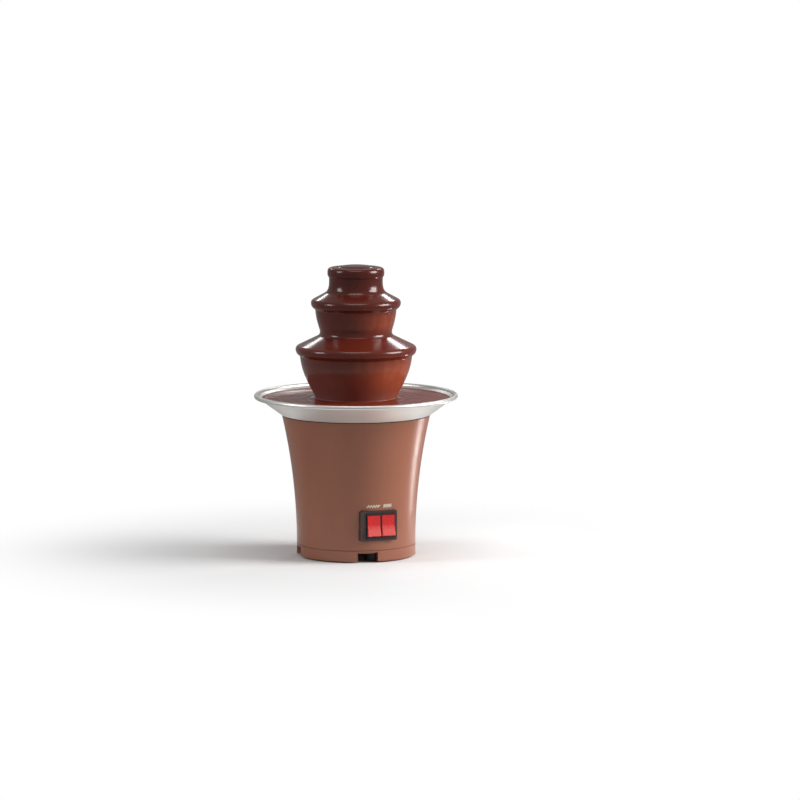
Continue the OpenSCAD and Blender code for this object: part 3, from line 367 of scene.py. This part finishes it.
def make_finishes():
    """One material for each slot of the record."""
    lens_low, lens_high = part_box("motor_rocker")
    materials = (
        moulded("brown_plastic", srgb(151, 91, 66), srgb(156, 95, 69), (0.28, 0.31), grain=0.8 * MM,
                depth=0.006 * MM, IOR=1.6),
        moulded("panel_plastic", srgb(66, 49, 46), srgb(72, 54, 51), (0.34, 0.42)),
        moulded("black_plastic", srgb(26, 25, 25), srgb(36, 34, 34), (0.4, 0.5)),
        moulded("cream_plastic", srgb(206, 196, 172), srgb(220, 212, 190), (0.4, 0.5)),
        moulded("tower_plastic", srgb(82, 52, 42), srgb(92, 60, 48), (0.3, 0.4)),
        moulded("gear_nylon", srgb(224, 220, 206), srgb(236, 232, 220), (0.42, 0.52),
                Subsurface_Weight=0.15, Subsurface_Scale=1 * MM),
        moulded("black_rubber", srgb(22, 21, 21), srgb(32, 31, 30), (0.6, 0.75), grain=0.6 * MM,
                depth=0.05 * MM),
        moulded("dark_silicone", srgb(38, 34, 33), srgb(48, 43, 41), (0.5, 0.6)),
        moulded("red_silicone", srgb(138, 38, 30), srgb(156, 48, 36), (0.5, 0.6)),
        moulded("mica", srgb(168, 150, 118), srgb(196, 180, 146), (0.35, 0.55), grain=1.6 * MM),
        moulded("magnet_ferrite", srgb(48, 48, 50), srgb(62, 62, 64), (0.55, 0.7)),
        metal("stainless_steel", srgb(230, 228, 224), srgb(248, 246, 242), (0.34, 0.44), "spun",
              size=0.5 * MM),
        metal("plated_steel", srgb(168, 170, 170), srgb(186, 188, 186), (0.3, 0.42)),
        metal("fastener_steel", srgb(162, 162, 158), srgb(182, 182, 178), (0.28, 0.4), "drawn"),
        metal("rotor_steel", srgb(120, 120, 122), srgb(140, 140, 140), (0.4, 0.5), "drawn"),
        metal("heater_aluminium", srgb(190, 192, 194), srgb(208, 209, 210), (0.38, 0.5)),
        metal("bronze", srgb(176, 128, 72), srgb(194, 146, 86), (0.3, 0.42), "spun"),
        running_chocolate("chocolate", (0.16, 0.2), IOR=1.47, Subsurface_Weight=0.2,
                          Subsurface_Radius=(1.0, 0.22, 0.06), Subsurface_Scale=3 * MM),
        still_chocolate("pool_chocolate", srgb(124, 46, 30), srgb(130, 50, 33), (0.13, 0.17), IOR=1.35,
                        Specular_IOR_Level=0.1),
        lit_lens("red_lens", lens_low.z, lens_high.z),
    )
    made = {slot_name(material): material for material in materials}
    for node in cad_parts.values():
        for slot in node.material_slots:
            slot.material = made[slot_name(slot.material)]
    return made


# Shapes

def lerp(a, b, t):
    return tuple(p + (q - p) * t for p, q in zip(a, b))


def bezier(controls, count=24):
    """Points along the curve that these points control."""
    path = []
    for i in range(count + 1):
        points = list(controls)
        while len(points) > 1:
            points = [lerp(a, b, i / count) for a, b in zip(points, points[1:])]
        path.append(points[0])
    return path


def spaced(path, step):
    """The same path with its points about a step apart."""
    lengths = [0.0]
    for a, b in zip(path, path[1:]):
        lengths.append(lengths[-1] + math.dist(a, b))
    count = max(2, round(lengths[-1] / step))
    made = [path[0]]
    at = 0
    for i in range(1, count):
        want = lengths[-1] * i / count
        while lengths[at + 1] < want:
            at += 1
        made.append(lerp(path[at], path[at + 1], (want - lengths[at]) / (lengths[at + 1] - lengths[at])))
    return made + [path[-1]]


def softened(path, passes):
    """The same path with its corners rounded and its ends kept."""
    for _ in range(passes):
        path = [path[0]] + [tuple((p + 2 * q + s) / 4 for p, q, s in zip(*three))
                            for three in zip(path, path[1:], path[2:])] + [path[-1]]
    return path


def normals(path):
    """Unit vectors to the left of the path's direction."""
    made = []
    for a, b in zip([path[0]] + path[:-1], path[1:] + [path[-1]]):
        length = math.dist(a, b)
        made.append(((a[1] - b[1]) / length, (b[0] - a[0]) / length))
    return made


def noise_round(reach, angle, height):
    """Smooth noise, at this distance and angle from the axis of its own space and at this height there."""
    return noise.noise(Vector((reach * math.cos(angle), reach * math.sin(angle), height)))


def piece(name, vertices, faces, body, slot, *replaced, smooth=True):
    """A mesh piece, in millimetres, that rides on a body and stands for the CAD nodes given, if any."""
    mesh = bpy.data.meshes.new(name)
    mesh.from_pydata([[c * MM for c in v] for v in vertices], [], faces)
    mesh.polygons.foreach_set("use_smooth", [smooth] * len(mesh.polygons))
    mesh.materials.append(finishes[slot])
    made = placed(name, mesh)
    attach(made, body)
    if replaced:
        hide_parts(*replaced)


def revolved(outline, segments, moved):
    """Vertices and faces of a closed (radius, height) outline turned round Z, listed clockwise.

    moved gives a point's own radius and height at an angle. A point on the axis becomes one vertex."""
    vertices, rows = [], []
    for i, (r, z) in enumerate(outline):
        row = []
        for k in range(segments):
            if r == 0 and k:
                row.append(row[0])
                continue
            angle = TURN * k / segments
            pr, pz = moved(i, angle) if r else (r, z)
            row.append(len(vertices))
            vertices.append((pr * math.cos(angle), pr * math.sin(angle), pz))
        rows.append(row)
    faces = []
    for upper, lower in zip(rows, rows[1:] + rows[:1]):
        for k in range(segments):
            n = (k + 1) % segments
            corners = [upper[k], lower[k], lower[n], upper[n]]
            face = [c for j, c in enumerate(corners) if c != corners[j - 1]]
            if len(face) > 2:
                faces.append(face)
    return vertices, faces


def radius_of(node):
    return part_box(node)[1].x / MM


def top_of(node):
    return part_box(node)[1].z / MM


def foot_of(node):
    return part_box(node)[0].z / MM


# Running chocolate: one sheet that covers the crown and both tiers and drops into the pool

SEGMENTS = 240
# Distance between the points of an outline, and how often the film's is softened
STEP = 0.7
SOFTENED = 2
SHEET_T = 1.5
# The film starts this far outside the mound and below the crown's top
FILM_START = (0.3, 0.3)
# From the top of each fall down to its widest ring, the radius where its sheet lands, and the fillet there:
# how far it reaches up the sheet and out along the shoulder
RING_DROP = {"crown_fall": 5.0, "middle_fall": 9.3, "lower_fall": 11.3}
LAND_R = {"crown_fall": 20.4, "middle_fall": 26.5, "lower_fall": 30.5}
FILLET = {"crown_fall": (6.0, 3.0), "middle_fall": (4.0, 2.4)}
# Half the upright side of the crown's ring, and the height of the undercut below it
CROWN_SIDE = 1.3
# The bend over the crown's edge, in from the ring and down from the film's start, and how far down from there
# the edge turns upright
CROWN_BEND = (0.9, 0.2)
CROWN_DROP = 0.5
# How far a tier's edge rounds in and up over its widest ring, and rolls in and down under it
EDGE = (1.6, 2.6)
ROLL = (3.3, 4.8)
# How far a tier's shoulder sags, and how far the foot of the lowest sheet spreads out and dips
HOLLOW = 0.1
FOOT_FLARE = (1.6, 0.5)
# Bends of a tier's edge and roll, as shares of their heights, and how far in the roll's bend lies
EDGE_BEND = 0.67
ROLL_BEND = 0.8
ROLL_IN = 0.1
# Bends of its sheet, as shares of how far it draws in and drops, from its top and from its landing
UPPER_BEND = (0.1, 0.4)
LOWER_BEND = (0.5, 0.36)
# Every so many points of the film's outside have one on its inside, which is hidden at rest
LINING_STEP = 3
# Unevenness of the film, coarse and fine: how quick its noise is round the tower and along a millimetre of
# height, where in the noise it starts, and its depth
FILM_WAVES = ((1.3, 0.03, 0, 0.16), (5, 0.02, 7, 0.05))


def crown_path(start):
    """Outside of the crown's fall: a low top, an upright ring, and a neck set in under it."""
    r = radius_of("crown_fall")
    z = top_of("crown_fall") - RING_DROP["crown_fall"]
    land = (LAND_R["crown_fall"], foot_of("crown_fall"))
    neck = (land[0], z - 2 * CROWN_SIDE)
    bend = (r - CROWN_BEND[0], start[1] - CROWN_BEND[1])
    top = bezier([start, bend, (r, start[1] - CROWN_DROP), (r, z + CROWN_SIDE)])
    return top + bezier([(r, z - CROWN_SIDE), (r, neck[1]), neck]) + [land]


def fall_path(node, start):
    """Outside of a tier's fall: a hollow shoulder, a rounded edge, the roll under it, and the sheet."""
    ring = (radius_of(node), top_of(node) - RING_DROP[node])
    land = (LAND_R[node], foot_of(node))
    brow = (ring[0] - EDGE[0], ring[1] + EDGE[1])
    under = (ring[0] - ROLL[0], ring[1] - ROLL[1])
    draw = under[0] - land[0]
    drop = under[1] - land[1]
    middle = lerp(start, brow, 0.5)
    shoulder = bezier([start, (middle[0], middle[1] - HOLLOW), brow])
    edge = bezier([brow, (ring[0], ring[1] + EDGE_BEND * EDGE[1]), ring])
    roll = bezier([ring, (ring[0] - ROLL_IN, ring[1] - ROLL_BEND * ROLL[1]), under])
    upper = (under[0] - UPPER_BEND[0] * draw, under[1] - UPPER_BEND[1] * drop)
    lower = (land[0] + LOWER_BEND[0] * draw, land[1] + LOWER_BEND[1] * drop)
    sheet = bezier([under, upper, lower, land])
    return shoulder + edge[1:] + roll[1:] + sheet[1:]


def filleted(path, following, reach):
    """Two paths that meet, joined by a curve that starts and ends these distances from their corner."""
    corner = path[-1]
    before = [p for p in path if math.dist(p, corner) > reach[0]]
    after = [p for p in following if math.dist(p, corner) > reach[1]]
    return before + bezier([before[-1], corner, after[0]])[1:-1] + after


def make_flow():
    start = (radius_of("chocolate_dome") + FILM_START[0], top_of("crown_fall") - FILM_START[1])
    path = spaced(crown_path(start), STEP)
    for node, above in (("middle_fall", "crown_fall"), ("lower_fall", "middle_fall")):
        path = filleted(path, spaced(fall_path(node, path[-1]), STEP), FILLET[above])
    foot = path[-1]
    path.append((foot[0] + FOOT_FLARE[0], foot[1] - FOOT_FLARE[1]))
    outer = softened(spaced(path, STEP), SOFTENED)
    ways = normals(outer)
    inner = [(p[0] - w[0] * SHEET_T, p[1] - w[1] * SHEET_T) for p, w in zip(outer, ways)]
    lining = inner[::-LINING_STEP]
    if lining[-1] != inner[0]:
        lining.append(inner[0])
    outline = outer + lining

    def moved(i, angle):
        r, z = outline[i]
        if i >= len(outer):
            return r, z
        uneven = sum(depth * noise_round(around, angle, z * along + place)
                     for around, along, place, depth in FILM_WAVES)
        # Upright stretches are uneven in full, level ones not at all
        push = uneven * ways[i][0] ** 2
        return r + ways[i][0] * push, z + ways[i][1] * push

    vertices, faces = revolved(outline, SEGMENTS, moved)
    falls = ("crown_fall", "middle_fall", "lower_fall")
    piece("chocolate_flow", vertices, faces, "tower", "chocolate", *falls)


# Control points of the mound's top: shares of its radius, and heights from its top
MOUND_CREST = ((0.0, -0.15), (0.4, 0.15), (0.8, -0.2), (1.0, -1.2), (1.0, -2.2))
MOUND_STEP = 0.6
# Unevenness of the mound and of the pool: how quick the noise is, where in the noise it lies, and its depth
MOUND_WAVES = (0.2, 3, 0.05)
POOL_WAVES = (0.1, 11, 0.09)


def make_mound():
    """Chocolate that wells up over the auger's tip, inside the crown's ring."""
    r = radius_of("chocolate_dome")
    top = top_of("chocolate_dome")
    foot = foot_of("chocolate_dome")
    crest = [(share * r, top + rise) for share, rise in MOUND_CREST]
    surface = spaced(bezier(crest, count=40), MOUND_STEP)
    outline = surface + [(r, foot), (0.0, foot)]

    def moved(i, angle):
        pr, pz = outline[i]
        if i < len(surface):
            quick, place, depth = MOUND_WAVES
            pz += depth * noise_round(pr * quick, angle, place)
        return pr, pz

    vertices, faces = revolved(outline, SEGMENTS // 2, moved)
    piece("chocolate_mound", vertices, faces, "auger", "chocolate", "chocolate_dome")


# The bowl's inside, below the pool's surface: well radius, seat radius, and the seat's height over the gasket
WELL_R = 48.3
SEAT_R = 56.9
SEAT_RISE = 1.1
# Room between the tower's locating ring and the pool
RING_GAP = 0.3
# Height of the collar round the sheet, of the ripples and of the climb up the bowl, each with the distance
# over which it fades, and how many radians the ripples turn in a millimetre
COLLAR = (0.45, 1.2)
RIPPLES = (0.16, 9)
RIPPLE_TURN = 0.9
CLIMB = (0.35, 0.9)


def make_pool():
    """Pool in the bowl, with a collar round the falling sheet, fading ripples and a raised rim line."""
    inner = radius_of("tower_ring") + RING_GAP
    outer = radius_of("chocolate_pool")
    level = top_of("chocolate_pool")
    foot = foot_of("chocolate_pool")
    seat = top_of("bowl_gasket") + SEAT_RISE
    land = LAND_R["lower_fall"] + FOOT_FLARE[0]
    surface = spaced([(inner, level), (outer, level)], STEP)
    outline = surface + [(SEAT_R, seat), (WELL_R, seat), (WELL_R, foot), (inner, foot)]

    def moved(i, angle):
        r, z = outline[i]
        if i < len(surface):
            away = max(0.0, r - land)
            collar = COLLAR[0] * math.exp(-away / COLLAR[1])
            ripple = RIPPLES[0] * math.exp(-away / RIPPLES[1]) * math.cos(away * RIPPLE_TURN)
            climb = CLIMB[0] * math.exp((r - outer) / CLIMB[1])
            quick, place, depth = POOL_WAVES
            drift = depth * noise_round(r * quick, angle, place)
            z += collar + ripple + climb + drift
        return r, z

    vertices, faces = revolved(outline, SEGMENTS, moved)
    piece("chocolate_surface", vertices, faces, "base", "pool_chocolate", "chocolate_pool")


# Printed marks over the rockers: a screw's wave for the auger, heat waves for the heater

SEAM_Z = 9.6
SEAM_R = radius_of("bottom_cover")
FLARE = (radius_of("base_housing") - SEAM_R, top_of("base_housing") - SEAM_Z)
FLARE_ARC = (FLARE[0] ** 2 + FLARE[1] ** 2) / (2 * FLARE[0])
MARK_Z = 43.2
MARK_STEP = 0.2
HEAT_PITCH = 0.85
# How far a stroke's back and front lie outside the housing: the back is sunk in it
MARK_LIFT = (-0.15, 0.1)
# Corners of a stroke's section: side of its path, and back or front
MARK_CORNERS = ((1, 0), (1, 1), (-1, 1), (-1, 0))


def housing_r(z):
    """Outer radius of the housing, an arc that starts upright at the seam."""
    return SEAM_R + FLARE_ARC - math.sqrt(FLARE_ARC ** 2 - (z - SEAM_Z) ** 2)


def wave(length, height, periods, z):
    """A wave along X, centred on 0."""
    steps = round(length / MARK_STEP)
    places = [(i / steps - 0.5) * length for i in range(steps + 1)]
    return [(x, z + height / 2 * math.sin(TURN * periods * x / length)) for x in places]


def stroke(path, width, centre):
    """Closed ribbon along a path that lies on the housing's front, centred on an X."""
    vertices = []
    for (x, z), (nx, nz) in zip(path, normals(path)):
        for side, lift in MARK_CORNERS:
            px = x + side * nx * width / 2
            pz = z + side * nz * width / 2
            r = housing_r(pz)
            angle = math.asin(centre / r) + px / r
            r += MARK_LIFT[lift]
            vertices.append((r * math.sin(angle), -r * math.cos(angle), pz))
    around = len(MARK_CORNERS)
    end = len(vertices) - around
    faces = []
    for i in range(0, end, around):
        for k in range(around):
            n = (k + 1) % around
            faces.append((i + k, i + n, i + around + n, i + around + k))
    faces.append(tuple(reversed(range(around))))
    faces.append(tuple(range(end, end + around)))
    return vertices, faces


def make_mark(name, over, width, paths):
    """Printed strokes on the housing, centred over a rocker."""
    low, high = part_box(over)
    centre = (low.x + high.x) / 2 / MM
    vertices, faces = [], []
    for path in paths:
        more, sides = stroke(path, width, centre)
        faces += [[len(vertices) + v for v in side] for side in sides]
        vertices += more
    piece(name, vertices, faces, "base", "cream_plastic", smooth=False)


def make_marks():
    screw = wave(length=10.2, height=1.7, periods=5, z=MARK_Z)
    heat = [wave(length=7.2, height=0.4, periods=3, z=MARK_Z + rise) for rise in (-HEAT_PITCH, 0, HEAT_PITCH)]
    make_mark("auger_mark", "motor_rocker", 0.8, [screw])
    make_mark("heat_mark", "heat_rocker", 0.55, heat)


# Studio: pale floor, white surroundings, soft lamps

FLOOR_R = 8.0
FLOOR_SIDES = 64
FLOOR_Z = -0.1 * MM
FLOOR_TONES = (grey(0.93), grey(0.95))
FLOOR_PATCH = 0.3
# Between these distances from the origin the floor that is seen goes from its own shading to plain white
FLOOR_SHADOW_R = (0.08, 0.32)
# Colour of the floor away from the object, as it lights it
FLOOR_FAR = grey(0.4)
# Strength of the surroundings as a light
AMBIENT = 0.16
# Lamps: azimuth from the camera towards its right and elevation in degrees, distance, size, and radiance
LAMPS = {
    "key": (82, 25, 1.0, (0.5, 0.56), 12.5),
    "fill": (-76, 26, 1.1, (0.34, 0.46), 6.5),
    "top": (0, 80, 1.3, (0.7, 0.7), 2.2),
    "back_right": (160, 33, 1.2, (0.14, 0.13), 14),
    "back_left": (-162, 28.4, 1.2, (0.1, 0.08), 13),
    "edge": (117, -20.5, 0.242, (0.014, 0.05), 24),
}


def add_floor():
    finish = Finish("floor")
    pale = finish.tones(finish.grain(FLOOR_PATCH), *FLOOR_TONES)
    white = finish.add("ShaderNodeEmission", {"Color": grey(1), "Strength": whiteness(finish.tree)})
    distance = finish.vector("LENGTH", finish.place)
    far = finish.ranged(distance, *FLOOR_SHADOW_R, interpolation_type="SMOOTHSTEP")
    shown = seen(finish.tree)
    lighting = finish.mixed(far, pale, FLOOR_FAR)
    finish.look(Base_Color=finish.mixed(shown, lighting, pale), Roughness=0.9, Specular_IOR_Level=0.0)
    share = finish.maths("MULTIPLY", shown, far)
    mix = finish.add("ShaderNodeMixShader", {"Fac": share, 1: finish.shader.outputs[0], 2: white.outputs[0]})
    finish.tree.links.new(mix.outputs[0], finish.tree.nodes["Material Output"].inputs["Surface"])
    mesh = bpy.data.meshes.new("floor")
    angles = [TURN * k / FLOOR_SIDES for k in range(FLOOR_SIDES)]
    rim = [(FLOOR_R * math.cos(angle), FLOOR_R * math.sin(angle), FLOOR_Z) for angle in angles]
    mesh.from_pydata(rim, [], [list(range(FLOOR_SIDES))])
    mesh.materials.append(finish.material)
    placed("floor", mesh)


def add_world():
    """White where it is seen, and dimmer as a light."""
    world = bpy.data.worlds.new("studio")
    bpy.context.scene.world = world
    world.use_nodes = True
    tree = world.node_tree
    strength = tree.nodes.new("ShaderNodeMapRange")
    tree.links.new(seen(tree), strength.inputs["Value"])
    tree.links.new(whiteness(tree), strength.inputs["To Max"])
    strength.inputs["To Min"].default_value = AMBIENT
    background = tree.nodes["Background"]
    background.inputs["Color"].default_value = grey(1)
    tree.links.new(strength.outputs["Result"], background.inputs["Strength"])


def softbox(name, azimuth, elevation, distance, size, radiance):
    """A rectangular lamp that faces the fountain's middle."""
    data = bpy.data.lights.new(name, "AREA")
    data.shape = "RECTANGLE"
    data.size, data.size_y = size
    data.energy = radiance * size[0] * size[1] * math.pi
    lamp = placed(name, data)
    turn = CAMERA_AZIMUTH + math.radians(azimuth)
    rise = math.radians(elevation)
    away = Vector((math.sin(turn) * math.cos(rise), -math.cos(turn) * math.cos(rise), math.sin(rise)))
    lamp.location = MIDDLE + away * distance
    turn_to(lamp, -away)
    lamp.visible_camera = False


def add_studio():
    add_floor()
    add_world()
    for name, setting in LAMPS.items():
        softbox(name, *setting)


add_camera()
finishes = make_finishes()
make_flow()
make_mound()
make_pool()
make_marks()
add_studio()

bpy.context.scene.view_settings.view_transform = "Standard"
